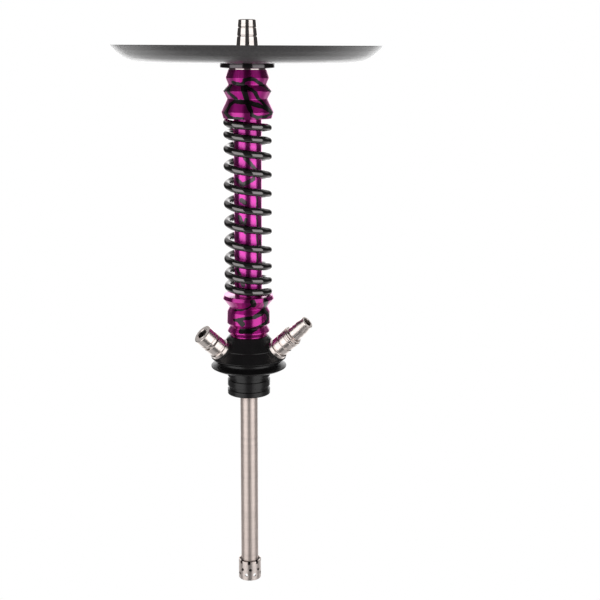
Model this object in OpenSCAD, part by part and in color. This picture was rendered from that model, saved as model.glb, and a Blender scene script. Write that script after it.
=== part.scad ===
// Stem of a water pipe whose column is dressed with a coil spring and two collars.
// Frame: origin on the stem axis, in the plane where the flange rests on the vase;
// +Z up the stem, -Y towards the viewer, +X to the hose side. Millimetres.

/* [Stem] */
// Height of the hub's top above the vase
hub_top = 30.2; // [29:0.2:32]
// Height at which the spring starts, on the lower collar
perch_low = 68.2; // [60:0.2:74]
// Height at which the spring ends, under the upper collar
perch_high = 226.1; // [215:0.5:235]
// Height of the upper collar's top
collar_top = 268; // [262:0.5:275]
// Outer radius of the core tube inside the column
core_r = 10; // [9.5:0.1:10.5]
// Bore radius of the core tube
core_bore_r = 7; // [6.8:0.1:7.5]
// Outer radius of the coloured sleeve
sleeve_r = 12.5; // [12.2:0.1:14]

/* [Spring] */
// Outside diameter of the spring
spring_od = 44; // [42:0.5:44]
// Diameter of the spring's wire
wire_d = 6.8; // [5:0.1:7.2]
// Number of turns
spring_turns = 10.5; // [9:0.5:11]
// Pitch at the two ends
end_pitch = 9; // [7.5:0.5:11]
// Turns over which the pitch opens out
pitch_ramp = 3.2; // [2:0.2:4]

/* [Tray] */
// Radius of the tray's rim
tray_r = 117.5; // [110:0.5:125]
// Depth of the tray
tray_depth = 14; // [12:0.5:18]
// Thickness of the tray's sheet
tray_wall = 1.6; // [1.2:0.1:2.2]
// Radius of the hole that drops over the bowl cone
tray_hole_r = 18; // [17:0.1:19]

/* [Bowl cone] */
// Height of the cone above the tray seat
cone_h = 35.9; // [30:0.5:40]
// Radius at the cone's foot
cone_foot_r = 11; // [10.6:0.1:11.2]
// Radius at the cone's tip
cone_tip_r = 7.75; // [7.4:0.05:8.4]
// Bore of the cone
cone_bore_r = 5.2; // [4.6:0.1:5.4]

/* [Vase plug] */
// Radius of the flange
flange_r = 34.4; // [31:0.1:40]
// Radius of the plug
plug_r = 19.5; // [18.5:0.1:21]
// Length of the plug below the flange
plug_l = 24.5; // [24:0.5:30]

/* [Downstem] */
// Outer radius of the downstem
down_r = 8; // [7.6:0.1:8.2]
// Bore radius of the downstem
down_bore_r = 6.5; // [6:0.1:6.6]
// Depth of the diffuser's lower end below the vase rim
down_l = 207.8; // [160:1:240]
// Length of the diffuser
diffuser_l = 18.8; // [18:0.2:24]
// Outer radius of the diffuser
diffuser_r = 10.5; // [10.3:0.1:12]

/* [Ports] */
// Angle between both ports and the stem
port_tilt = 46.3; // [46:0.1:47]
// How far the valve is turned from the side towards the front
valve_swing = 27; // [20:0.5:32]
// How far the hose port is turned from the side towards the front
hose_swing = 22; // [15:0.5:30]
// Outer radius of a port's body
port_r = 9.2; // [9.1:0.1:9.5]
// Radius of the ring at a port's foot
port_foot_r = 10; // [9.8:0.1:10.2]
// Radius of the hub's boss under a port
boss_r = 10.9; // [10.7:0.1:11.1]
// Length of the valve from the hub to its end
valve_l = 26.3; // [26:0.1:28]
// Radius of the valve's ball
ball_r = 4.2; // [4:0.1:4.3]
// Length of the hose port from the hub to its mouth
hose_port_l = 21; // [20.5:0.1:22]
// Length of the hose adapter beyond the hose port
nozzle_l = 21.9; // [20:0.1:26]

/* [Hidden] */

$fn = 96;
play = 0.05;      // radial play of a running fit
over = 1;         // how far a cutter runs past a face

// Column
socket_floor = 20;              // bottom of the core tube in the hub
sleeve_low = hub_top + 4.4;
sleeve_high = collar_top - 4;
spacer_t = 1.1;
seat_low = collar_top + spacer_t;
pad_low = seat_low + 4.7;
pad_t = 0.6;
tray_low = pad_low + pad_t;
core_high = seat_low + 2;
seat_r = 24.2;

// Spring
wire_r = wire_d / 2;
coil_r = spring_od / 2 - wire_r;
coil_low = perch_low + wire_r;
coil_rise = perch_high - perch_low - wire_d;
mid_pitch = (coil_rise - pitch_ramp * end_pitch) / (spring_turns - pitch_ramp);
rings_per_turn = 20;
wire_sides = 10;

// Ports
port_axis_z = -7.4;             // where both port axes meet the stem axis
boss_face = 36.8;               // boss face, along the port axis from there
gasket_t = 0.8;
gasket_r = 10.6;
port_bore_r = 5;
chamber_r = 15;
chamber_top = 8;
valve_az = 180 + valve_swing;
hose_az = -hose_swing;

// Diffuser
diffuser_low = -down_l;
diffuser_top = diffuser_low + diffuser_l;
tube_end = diffuser_top - 4.2;

// A ring with a rectangular section.
module ring(low, high, inner, outer) {
    difference() {
        translate([0, 0, low]) cylinder(r = outer, h = high - low);
        translate([0, 0, low - over]) cylinder(r = inner, h = high - low + 2 * over);
    }
}

// A round seal: a torus of section radius r about the local axis.
module seal_ring(z, mean_r, r) {
    translate([0, 0, z])
        rotate_extrude()
            translate([mean_r, 0]) circle(r = r, $fn = 32);
}

// Revolves an outline that is given as [radius, height] points.
module turned(points) {
    rotate_extrude() polygon(points);
}

// Puts children on a port axis; the local +Z leaves the hub, 0 is the boss face.
module on_port(azimuth) {
    translate([0, 0, port_axis_z])
        rotate([0, 0, azimuth])
            rotate([0, port_tilt, 0])
                translate([0, 0, boss_face]) children();
}

// --- Hub, flange and vase plug: one turned piece with two slanted bosses ---

groove = 1.3;                   // depth of the plug's two grooves

hub_outline = [
    [0, -plug_l], [plug_r - 0.5, -plug_l], [plug_r, -plug_l + 0.5],
    [plug_r, -19.9], [plug_r - groove, -19.9], [plug_r - groove, -16.5],
    [plug_r, -16.5], [plug_r, -10.9], [plug_r - groove, -10.9],
    [plug_r - groove, -7.4], [plug_r, -7.4], [plug_r, 0],
    [flange_r - 2.4, 0], [flange_r, 1.4], [flange_r, 2.2],
    [29.2, 4.9], [28.4, 5.7], [28.4, 7.6], [33.4, 9.4], [34.4, 10.2],
    [27.5, 18.4], [26.9, 18.5], [26.9, 19.1],
    [18, hub_top - 0.4], [17.6, hub_top], [0, hub_top]
];

module hub() {
    color("dimgray")
    difference() {
        union() {
            turned(hub_outline);
            // Bosses under the ports, cut off clear of the flange
            difference() {
                for (azimuth = [valve_az, hose_az])
                    on_port(azimuth)
                        translate([0, 0, -14]) cylinder(r = boss_r, h = 14);
                translate([0, 0, -40]) cylinder(r = 60, h = 45.8);
            }
        }
        // Flat seats for the ports, sunk into the cone
        for (azimuth = [valve_az, hose_az])
            on_port(azimuth) cylinder(r = boss_r + 0.1, h = 8);
        // Core tube socket, smoke way and downstem socket
        translate([0, 0, socket_floor]) cylinder(r = core_r, h = 40);
        translate([0, 0, -plug_l - over]) cylinder(r = down_bore_r, h = 80);
        translate([0, 0, -plug_l - over]) cylinder(r = down_r, h = plug_l + over + 18);
        // Seal grooves
        ring(23.4, 25.6, core_r - 1, core_r + 1.8);
        ring(12.4, 14.6, down_r - 1, down_r + 1.8);
        // Air chamber round the downstem, and the two slanted ways into it
        translate([0, 0, -plug_l - over]) cylinder(r = chamber_r, h = plug_l + over + chamber_top);
        for (azimuth = [valve_az, hose_az])
            on_port(azimuth)
                translate([0, 0, -19]) cylinder(r = port_bore_r, h = 40);
    }
}

// --- Downstem ---

module downstem_tube() {
    color("silver") ring(tube_end, 18, down_bore_r, down_r);
}

module downstem_seal() {
    color("black") seal_ring(13.5, down_r + 0.9, 0.9);
}

module diffuser() {
    notch_w = 2.4;
    notch_h = 2.6;
    hole_d = 3.1;
    skin_r = diffuser_r - 1.2;
    // Height and turn of the two staggered rows of holes
    rows = [[5.6, -61.5], [10.6, -84]];
    color("silver")
    difference() {
        turned([
            [down_r + play, diffuser_top], [diffuser_r - 0.4, diffuser_top],
            [diffuser_r, diffuser_top - 0.4], [diffuser_r, diffuser_low + 0.9],
            [diffuser_r - 0.9, diffuser_low], [skin_r, diffuser_low],
            [skin_r, tube_end - 2.2], [down_bore_r + 0.2, tube_end - 2.2],
            [down_bore_r + 0.2, tube_end - 1.3], [down_r + play, tube_end - 1.3]
        ]);
        for (k = [0:7]) {
            rotate([0, 0, 45 * k - 92])
                translate([0, -notch_w / 2, diffuser_top - notch_h])
                    cube([diffuser_r + over, notch_w, notch_h + over]);
            for (row = rows)
                rotate([0, 0, 45 * k + row[1]])
                    translate([0, 0, diffuser_low + row[0]])
                        rotate([0, 90, 0]) cylinder(d = hole_d, h = diffuser_r + over, $fn = 32);
        }
    }
}

module diffuser_seal() {
    color("black") ring(tube_end - 1.25, tube_end - 0.1, down_bore_r + 0.2, down_r - 0.1);
}

// --- Core tube and column ---

module core_tube() {
    color("silver") ring(socket_floor, core_high, core_bore_r, core_r);
}

module core_seal() {
    color("black") seal_ring(24.5, core_r + 0.9, 0.9);
}

lower_collar_outline = [
    [core_r, hub_top], [16.6, hub_top], [17, hub_top + 0.4], [17, 31.4],
    [19.2, 34.6], [19.2, 35.6], [17, 39.3], [19.75, 42.6], [19.4, 53.4],
    [17.3, 57.3], [23.3, 65], [22.2, perch_low], [sleeve_r, perch_low],
    [sleeve_r, sleeve_low], [core_r, sleeve_low]
];

upper_collar_outline = [
    [core_r, collar_top], [16.8, collar_top], [19.4, 260.9], [16.9, 255],
    [21.7, 249.7], [18, 242.8], [23.4, 231.8], [21.8, perch_high],
    [sleeve_r, perch_high], [sleeve_r, sleeve_high], [core_r, sleeve_high]
];

module lower_collar() {
    color("purple") turned(lower_collar_outline);
}

module upper_collar() {
    color("purple") turned(upper_collar_outline);
}

module column_sleeve() {
    color("mediumvioletred") ring(sleeve_low, sleeve_high, core_r, sleeve_r);
}

// Height of the wire's centre after a number of turns; the ends are symmetrical.
function ramp_rise(t) = end_pitch * t + (mid_pitch - end_pitch) * t * t / (2 * pitch_ramp);
function coil_rise_at(t) =
    t < pitch_ramp ? ramp_rise(t) :
    t > spring_turns - pitch_ramp ? coil_rise - ramp_rise(spring_turns - t) :
    ramp_rise(pitch_ramp) + mid_pitch * (t - pitch_ramp);

// A point on the wire's skin: the spring is wound left-handed from +X.
function wire_point(t, side) =
    let (r = coil_r + wire_r * cos(side), a = -360 * t)
    [r * cos(a), r * sin(a), coil_low + coil_rise_at(t) + wire_r * sin(side)];

module spring() {
    rings = round(spring_turns * rings_per_turn);
    points = [
        for (i = [0:rings], k = [0:wire_sides - 1])
            wire_point(spring_turns * i / rings, 360 * k / wire_sides)
    ];
    skin = [
        for (i = [0:rings - 1], k = [0:wire_sides - 1])
            let (a = i * wire_sides, b = a + wire_sides, n = (k + 1) % wire_sides)
            [a + k, a + n, b + n, b + k]
    ];
    low_end = [for (k = [0:wire_sides - 1]) wire_sides - 1 - k];
    high_end = [for (k = [0:wire_sides - 1]) rings * wire_sides + k];
    color("black") polyhedron(points, concat(skin, [low_end], [high_end]));
}

module spacer_ring() {
    color("silver") ring(collar_top, seat_low, core_r, 16.5);
}

// --- Tray and its seat ---

module tray_seat() {
    color("dimgray") turned([
        [core_r, seat_low], [seat_r - 0.5, seat_low], [seat_r, seat_low + 0.5],
        [seat_r, pad_low - 0.5], [seat_r - 0.5, pad_low], [tray_hole_r - 0.3, pad_low],
        [tray_hole_r - 0.3, tray_low + 0.9], [11.5, tray_low + 0.9], [11.5, tray_low],
        [9.8, tray_low], [9.8, core_high], [core_r, core_high]
    ]);
}

module tray_pad() {
    color("black") ring(pad_low, tray_low, tray_hole_r - 0.1, 22);
}

// Underside of the tray from its centre hole to the rim
tray_under = [
    [tray_hole_r, 0], [tray_r - 27.5, 0], [tray_r - 19, 1], [tray_r - 13.5, 2.8],
    [tray_r - 9, 5.6], [tray_r - 4.3, 9.6], [tray_r, tray_depth]
];

// The same line one sheet thickness further in, made from the slope at each point.
function slope_at(line, i) =
    let (a = line[max(i - 1, 0)], b = line[min(i + 1, len(line) - 1)])
    (b - a) / norm(b - a);
tray_inside = [
    for (i = [0:len(tray_under) - 2])
        tray_under[i] + tray_wall * [-slope_at(tray_under, i)[1], slope_at(tray_under, i)[0]]
];

module tray() {
    last = len(tray_under) - 1;
    back = [for (i = [len(tray_inside) - 1:-1:1]) tray_inside[i]];
    outline = concat(
        tray_under,
        [[tray_r - 1.6, tray_depth]],
        back,
        [[tray_hole_r, tray_wall]]
    );
    color("dimgray") translate([0, 0, tray_low + 0.1]) turned(outline);
}

// --- Bowl cone ---

module bowl_cone() {
    foot = tray_low + 0.1;
    tip = foot + cone_h;
    mid_r = (cone_foot_r + cone_tip_r) / 2;
    slope = (cone_foot_r - cone_tip_r) / cone_h;
    color("silver") turned([
        [cone_bore_r, foot - 13], [core_bore_r - play, foot - 13],
        [core_bore_r - play, foot - 2.6], [core_bore_r - 0.9, foot - 2.6],
        [core_bore_r - 0.9, foot], [cone_foot_r, foot],
        [cone_tip_r + slope * 14.6, tip - 14.6], [cone_tip_r + slope * 14.6 - 0.4, tip - 14.2],
        [cone_tip_r + slope * 13.2 - 0.4, tip - 13.6], [cone_tip_r + slope * 13.2, tip - 13.2],
        [cone_tip_r + slope * 7.4, tip - 7.4], [cone_tip_r + slope * 7.4 - 0.4, tip - 7],
        [cone_tip_r + slope * 6 - 0.4, tip - 6.4], [cone_tip_r + slope * 6, tip - 6],
        [cone_tip_r, tip - 0.5], [cone_tip_r - 0.5, tip], [cone_bore_r, tip]
    ]);
}

module bowl_cone_seal() {
    color("black") ring(tray_low - 1.6, tray_low - 0.3, core_bore_r - 0.8, core_bore_r + 1.9);
}

// --- Purge valve, on the left ---

module valve_gasket() {
    color("black") on_port(valve_az) ring(0, gasket_t, port_bore_r, gasket_r);
}

module valve_body() {
    color("silver")
    on_port(valve_az)
        difference() {
            turned([
                [2.8, -7], [port_bore_r, -7], [port_bore_r, gasket_t], [port_foot_r, gasket_t],
                [port_foot_r, 4], [port_foot_r - 0.4, 4.4], [port_r - 0.3, 4.4],
                [port_r - 0.3, 6.4], [port_r, 6.8], [port_r, 13.6], [7.5, 13.6],
                [7.5, 19.4], [5.5, 19.4], [5.5, 6.7], [2.8, 4]
            ]);
            for (k = [0:11])
                rotate([0, 0, 30 * k])
                    translate([0, 0, 14.3])
                        rotate([0, 90, 0]) cylinder(r = 0.6, h = 12, $fn = 24);
        }
}

module valve_ball() {
    color("lightgray") on_port(valve_az) translate([0, 0, 7.5]) sphere(r = ball_r);
}

module valve_cap() {
    lobes = 5;
    color("silver")
    on_port(valve_az)
        difference() {
            turned([
                [0, 17.5], [5.2, 17.5], [5.2, 19.9], [7.5 + play, 19.9],
                [7.5 + play, 16.9], [8.3, 16.9], [8.3, 15], [port_r - 0.3, 15],
                [port_r, 15.4], [port_r, 17.4], [port_r - 0.35, 17.7], [port_r, 18],
                [port_r, valve_l - 0.6], [port_r - 0.5, valve_l],
                [5.7, valve_l], [5.4, valve_l - 0.5], [5, valve_l - 0.5],
                [4.7, valve_l], [4.5, valve_l], [4.5, valve_l - 4.6], [0, valve_l - 4.6]
            ]);
            translate([0, 0, 16]) cylinder(r = 1.6, h = 12);
            for (k = [0:lobes - 1])
                rotate([0, 0, 360 * k / lobes])
                    translate([2.4, 0, 16]) cylinder(r = 1.1, h = 12, $fn = 24);
        }
}

module valve_cap_seal() {
    color("black") on_port(valve_az) ring(15.1, 16.7, 7.6, 8.2);
}

// --- Hose port, on the right ---

module hose_port_gasket() {
    color("black") on_port(hose_az) ring(0, gasket_t, port_bore_r, gasket_r);
}

module hose_port() {
    color("silver")
    on_port(hose_az) turned([
        [4.1, -7], [port_bore_r, -7], [port_bore_r, gasket_t], [port_foot_r, gasket_t],
        [port_foot_r, 4.2], [port_foot_r - 0.6, 4.8], [port_r - 0.8, 5.1],
        [port_r - 0.8, 6], [port_r, 6.4], [port_r, 12], [port_r - 0.8, 12.4],
        [port_r - 0.8, 13.3], [port_r, 13.7], [port_r, 18.8], [port_r - 0.5, 19.1],
        [port_r - 0.5, 19.6], [port_r, 19.9], [port_r, hose_port_l - 0.3],
        [port_r - 0.3, hose_port_l], [6.5 + play, hose_port_l], [6.5 + play, 8.6], [4.1, 8.6]
    ]);
}

module hose_adapter() {
    flange = hose_port_l + 0.2;
    tip = hose_port_l + nozzle_l;
    first = flange + 4.2;
    barb_l = (tip - 1.6 - first) / 3;
    color("silver")
    on_port(hose_az) turned([
        [4.1, 9], [6.2, 9], [6.5, 9.3], [6.5, 10.8], [5.4, 10.8], [5.4, 12],
        [6.5, 12], [6.5, 15.8], [5.4, 15.8], [5.4, 17], [6.5, 17],
        [6.5, flange], [port_r - 0.1, flange], [port_r + 0.2, flange + 0.3],
        [port_r + 0.2, flange + 1.2], [port_r - 0.1, flange + 1.5], [7.9, flange + 1.5],
        [7.9, flange + 2.2], [8.4, flange + 2.2], [8.7, flange + 2.5],
        [8.7, flange + 3.1], [8.3, flange + 3.4], [6.4, flange + 3.4],
        [6.2, first], [7.2, first], [6.4, first + 0.85 * barb_l],
        [7, first + 0.85 * barb_l], [6.3, first + 1.75 * barb_l],
        [6.9, first + 1.75 * barb_l], [5.6, tip - 1.6], [6, tip - 1.5],
        [6, tip - 0.4], [5.7, tip], [4.3, tip], [4.1, tip - 0.2]
    ]);
}

module hose_seal_inner() {
    color("black") on_port(hose_az) seal_ring(11.4, 5.98, 0.5);
}

module hose_seal_outer() {
    color("black") on_port(hose_az) seal_ring(16.4, 5.98, 0.5);
}

hub();
downstem_tube();
downstem_seal();
diffuser();
diffuser_seal();
core_tube();
core_seal();
lower_collar();
column_sleeve();
spring();
upper_collar();
spacer_ring();
tray_seat();
tray_pad();
tray();
bowl_cone();
bowl_cone_seal();
valve_body();
valve_gasket();
valve_ball();
valve_cap();
valve_cap_seal();
hose_port();
hose_port_gasket();
hose_adapter();
hose_seal_inner();
hose_seal_outer();
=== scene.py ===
"""Looks of a water pipe stem that is dressed as a coilover.

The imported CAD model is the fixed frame. Turned pieces are lathed again here from their
outlines with softened edges, the spring is swept smooth, and every surface gets a
procedural material. Outlines are in millimetres, in the CAD frame: +Z up the stem,
-Y to the front, origin under the hub's flange.
"""

import math

import bmesh
import bpy
from mathutils import Matrix, Vector


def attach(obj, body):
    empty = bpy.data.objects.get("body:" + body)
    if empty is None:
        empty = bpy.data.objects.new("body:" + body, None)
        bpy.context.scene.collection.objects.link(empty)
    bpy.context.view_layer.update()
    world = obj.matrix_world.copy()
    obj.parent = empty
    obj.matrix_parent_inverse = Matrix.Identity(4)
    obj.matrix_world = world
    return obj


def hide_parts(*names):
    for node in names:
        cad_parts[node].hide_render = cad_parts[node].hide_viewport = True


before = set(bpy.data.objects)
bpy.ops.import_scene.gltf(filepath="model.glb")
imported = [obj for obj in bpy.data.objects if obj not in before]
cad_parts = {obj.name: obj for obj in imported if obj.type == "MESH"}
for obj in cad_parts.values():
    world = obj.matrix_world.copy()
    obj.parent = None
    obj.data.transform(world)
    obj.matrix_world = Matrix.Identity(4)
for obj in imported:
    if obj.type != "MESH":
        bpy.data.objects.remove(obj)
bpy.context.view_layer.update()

MM = 0.001          # m
FINE = 192          # segments round a piece of ordinary size
ON_AXIS = 1e-6      # a radius below this is on the axis
GRAIN = 6e-6        # m, slivers below this are merged after a cut

# ---------------------------------------------------------------- sizes (mm)

# Heights, from the underside of the hub's flange
HUB_TOP = 30.2
PERCH_LOW, PERCH_HIGH = 68.2, 226.1
COLLAR_TOP = 268.0
SLEEVE_LOW, SLEEVE_HIGH = HUB_TOP + 4.4, COLLAR_TOP - 4
SEAT_LOW = COLLAR_TOP + 1.1
PAD_LOW = SEAT_LOW + 4.7
TRAY_LOW = PAD_LOW + 0.6
CORE_LOW, CORE_TOP = 20.0, SEAT_LOW + 2
DOWN_TOP = 18.0
DIFFUSER_LOW = -207.8
DIFFUSER_TOP = DIFFUSER_LOW + 18.8
TUBE_END = DIFFUSER_TOP - 4.2
TIP_THREAD_TOP = TUBE_END + 4

# Radii and lengths of the pieces
CLEAR = 0.1         # between the cone or the tray and what they rest on
CONE_R, CONE_TIP_R, CONE_BORE_R, CONE_L = 11.0, 7.75, 5.2, 35.9
CONE_NECK_R, CONE_NECK_L = 6.1, 2.2
TRAY_R, TRAY_HOLE_R, TRAY_SHEET = 117.5, 18.0, 1.6
RIM_H = 14.0
SEAT_R, PAD_R, SPACER_R = 24.2, 22.0, 16.5
CORE_R, CORE_BORE_R = 10.0, 7.0
SLEEVE_R = 12.5
PLUG_R, PLUG_L, PLUG_BORE_R = 19.5, 24.5, 15.0
FLANGE_R = 34.4
DOWN_R, DOWN_BORE_R = 8.0, 6.5
DIFFUSER_R, DIFFUSER_NECK_R, DIFFUSER_WALL = 10.5, 8.05, 1.2
BOSS_R = 10.9
PORT_R, PORT_FOOT_R, PORT_BORE_R = 9.2, 10.0, 5.0
PORT_INSIDE, GASKET = 7.0, 0.8      # a port's length inside the hub, and the gasket under it
VALVE_L, VALVE_NECK_R = 26.3, 7.5
VALVE_THREAD_LOW, VALVE_THREAD_TOP = 15.1, 19.4
HOSE_PORT_L, NOZZLE_L, HOSE_BORE_R = 21.0, 21.9, 4.1
SPIGOT_R, SPIGOT_GROOVE_R = 6.5, 5.4
PORT_AXIS_Z, BOSS_FACE, PORT_TILT = -7.4, 36.8, 46.3
VALVE_AZ, HOSE_AZ = 207.0, -22.0
WIRE_R, COIL_R = 3.4, 18.6
TURNS, END_PITCH, RAMP = 10.5, 9.0, 3.2


def turned(degrees, axis="Z"):
    """A turn about an axis."""
    return Matrix.Rotation(math.radians(degrees), 4, axis)


def moved(x=0.0, z=0.0):
    """A shift, in millimetres."""
    return Matrix.Translation((x * MM, 0, z * MM))


def port_frame(azimuth):
    """The frame of a port: local +Z leaves the hub, 0 is the face of the boss."""
    return moved(z=PORT_AXIS_Z) @ turned(azimuth) @ turned(PORT_TILT, "Y") @ moved(z=BOSS_FACE)


VALVE, HOSE = port_frame(VALVE_AZ), port_frame(HOSE_AZ)
PORTS = (VALVE, HOSE)

# ---------------------------------------------------------------- mesh tools


def soften(outline, radius):
    """Rounds each corner of a closed outline of (r, z) or (r, z, corner radius) points."""
    soft = []
    for i, point in enumerate(outline):
        before = Vector(outline[i - 1][:2])
        here = Vector(point[:2])
        after = Vector(outline[(i + 1) % len(outline)][:2])
        u, v = before - here, after - here
        length = min(u.length, v.length)
        u.normalize()
        v.normalize()
        turn = math.pi - u.angle(v)
        if turn < math.radians(3) or here.x < ON_AXIS:
            soft.append(here)
            continue
        wanted = point[2] if len(point) > 2 else radius
        reach = min(wanted * math.tan(turn / 2), 0.4 * length)
        r = reach / math.tan(turn / 2)
        centre = here + (u + v).normalized() * (r / math.cos(turn / 2))
        start, end = here + u * reach, here + v * reach
        hold = min(0.6 * reach, 0.08 * length)
        a = math.atan2(start.y - centre.y, start.x - centre.x)
        sweep = math.atan2(end.y - centre.y, end.x - centre.x) - a
        sweep = (sweep + math.pi) % (2 * math.pi) - math.pi
        steps = max(2, math.ceil(math.degrees(turn) / 22))
        soft.append(start + u * hold)
        for k in range(steps + 1):
            angle = a + sweep * k / steps
            soft.append(centre + r * Vector((math.cos(angle), math.sin(angle))))
        soft.append(end + v * hold)
    return soft


def finish_mesh(name, bm, matrix=None, sharp=35):
    """Makes an object of a bmesh, with outward faces, smooth up to the sharp angle."""
    bmesh.ops.recalc_face_normals(bm, faces=bm.faces)
    mesh = bpy.data.meshes.new(name)
    bm.to_mesh(mesh)
    bm.free()
    mesh.shade_smooth()
    mesh.set_sharp_from_angle(angle=math.radians(sharp))
    obj = bpy.data.objects.new(name, mesh)
    bpy.context.scene.collection.objects.link(obj)
    if matrix is not None:
        obj.matrix_world = matrix
    return obj


def ring_of(bm, radius, height, count):
    """A level ring of points round the local Z axis."""
    return [
        bm.verts.new((
            radius * MM * math.cos(2 * math.pi * k / count),
            radius * MM * math.sin(2 * math.pi * k / count),
            height * MM,
        ))
        for k in range(count)
    ]


def skin(bm, a, b):
    """Faces between two closed rings of equal count."""
    for k in range(len(a)):
        n = (k + 1) % len(a)
        bm.faces.new((a[k], a[n], b[n], b[k]))


def lathe(name, outline, matrix=None, radius=0.25, segments=FINE):
    """Revolves a closed outline round the local Z axis."""
    points = soften(outline, radius) if radius else [Vector(p[:2]) for p in outline]
    bm = bmesh.new()
    rings = []
    for p in points:
        if p.x < ON_AXIS:
            rings.append([bm.verts.new((0, 0, p.y * MM))])
        else:
            rings.append(ring_of(bm, p.x, p.y, segments))
    for low, high in zip(rings, rings[1:] + rings[:1]):
        if len(low) > 1 and len(high) > 1:
            skin(bm, low, high)
            continue
        if len(low) == len(high):
            continue
        for k in range(segments):
            n = (k + 1) % segments
            if len(low) == 1:
                bm.faces.new((low[0], high[n], high[k]))
            else:
                bm.faces.new((low[k], low[n], high[0]))
    return finish_mesh(name, bm, matrix)


def thread(name, crest, bore, depth, pitch, low, high, matrix=None):
    """A male thread: a tube whose outside rises and falls along a helix."""
    around, per_pitch = 72, 8
    rows = max(2, round((high - low) / pitch * per_pitch))
    bm = bmesh.new()
    rings = []
    for i in range(rows + 1):
        z = low + (high - low) * i / rows
        fade = min(1.0, (z - low) / pitch, (high - z) / pitch)
        ring = []
        for k in range(around):
            angle = 2 * math.pi * k / around
            phase = (z / pitch - k / around) % 1.0
            dip = abs(2 * phase - 1)
            r = crest - depth * (1 - fade * (1 - dip))
            ring.append(bm.verts.new((r * MM * math.cos(angle), r * MM * math.sin(angle), z * MM)))
        rings.append(ring)
    rings += [ring_of(bm, bore, z, around) for z in (high, low)]
    for a, b in zip(rings, rings[1:] + rings[:1]):
        skin(bm, a, b)
    return finish_mesh(name, bm, matrix, sharp=50)


def clean_cut(target):
    """Merges the slivers that a cut leaves, and drops loose crumbs."""
    bm = bmesh.new()
    bm.from_mesh(target.data)
    bmesh.ops.remove_doubles(bm, verts=bm.verts, dist=GRAIN)
    bmesh.ops.triangulate(bm, faces=[f for f in bm.faces if len(f.verts) > 4])
    bmesh.ops.dissolve_degenerate(bm, edges=bm.edges, dist=GRAIN)
    smallest_island = 12
    crumbs, unseen = [], set(bm.faces)
    while unseen:
        island = [unseen.pop()]
        for face in island:
            for edge in face.edges:
                near = [f for f in edge.link_faces if f in unseen]
                island += near
                unseen.difference_update(near)
        if len(island) < smallest_island:
            crumbs += island
    bmesh.ops.delete(bm, geom=crumbs, context="FACES")
    bmesh.ops.delete(bm, geom=[e for e in bm.edges if not e.link_faces], context="EDGES")
    bmesh.ops.delete(bm, geom=[v for v in bm.verts if not v.link_faces], context="VERTS")
    bm.to_mesh(target.data)
    bm.free()


def apply_boolean(target, tool, operation):
    """Cuts or joins one tool to the target, and keeps the tool."""
    bpy.context.view_layer.objects.active = target
    change = target.modifiers.new("cut", "BOOLEAN")
    change.operation = operation
    change.solver = "EXACT"
    change.object = tool
    bpy.ops.object.modifier_apply(modifier=change.name)


def boolean(target, tools, operation="DIFFERENCE"):
    """Cuts or joins the tools to the target, and removes them."""
    for tool in tools:
        apply_boolean(target, tool, operation)
        bpy.data.objects.remove(tool)
    clean_cut(target)
    target.data.shade_smooth()
    target.data.set_sharp_from_angle(angle=math.radians(30))
    even = target.modifiers.new("normals", "WEIGHTED_NORMAL")
    even.keep_sharp = True
    bpy.ops.object.modifier_apply(modifier=even.name)


def rod(radius, low, high, matrix, segments):
    """A plain closed cylinder, used to cut with."""
    return lathe("tool", [(0, low), (radius, low), (radius, high), (0, high)], matrix, 0, segments)


def block(size, centre, matrix):
    """A plain closed block, used to cut with."""
    bm = bmesh.new()
    bmesh.ops.create_cube(bm, size=1)
    bmesh.ops.scale(bm, vec=Vector(size) * MM, verts=bm.verts)
    bmesh.ops.translate(bm, vec=Vector(centre) * MM, verts=bm.verts)
    return finish_mesh("tool", bm, matrix)


def joined(tools):
    """One object made of several that don't touch each other."""
    bm = bmesh.new()
    for tool in tools:
        mesh = tool.data.copy()
        mesh.transform(tool.matrix_world)
        bm.from_mesh(mesh)
        bpy.data.objects.remove(tool)
    return finish_mesh("tools", bm)


def place(obj, body, slot, material, *nodes):
    """The piece rides on a body, stands for CAD nodes and gets its material."""
    obj.data.materials.clear()
    obj.data.materials.append(material)
    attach(obj, body)
    if nodes:
        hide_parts(*nodes)


# ---------------------------------------------------------------- material tools


class Nodes:
    """Short ways to add nodes to a node tree."""

    def __init__(self, tree):
        self.tree = tree

    def feed(self, socket, value):
        if isinstance(value, bpy.types.NodeSocket):
            self.tree.links.new(value, socket)
        else:
            socket.default_value = value

    def add(self, kind, settings=None, **inputs):
        node = self.tree.nodes.new(kind)
        for key, value in (settings or {}).items():
            setattr(node, key, value)
        for key, value in inputs.items():
            self.feed(node.inputs[key.replace("_", " ")], value)
        return node

    def math(self, operation, *values):
        node = self.add("ShaderNodeMath", {"operation": operation})
        for socket, value in zip(node.inputs, values):
            self.feed(socket, value)
        return node.outputs[0]

    def vector(self, operation, *values, scale=None):
        node = self.add("ShaderNodeVectorMath", {"operation": operation})
        for socket, value in zip(node.inputs, values):
            self.feed(socket, value)
        if scale is not None:
            self.feed(node.inputs["Scale"], scale)
        return node.outputs

    def ramp(self, value, low, high, to_low=0.0, to_high=1.0, smooth=False):
        node = self.add("ShaderNodeMapRange", {"clamp": True})
        if smooth:
            node.interpolation_type = "SMOOTHSTEP"
        for socket, given in zip(node.inputs, (value, low, high, to_low, to_high)):
            self.feed(socket, given)
        return node.outputs[0]


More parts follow.
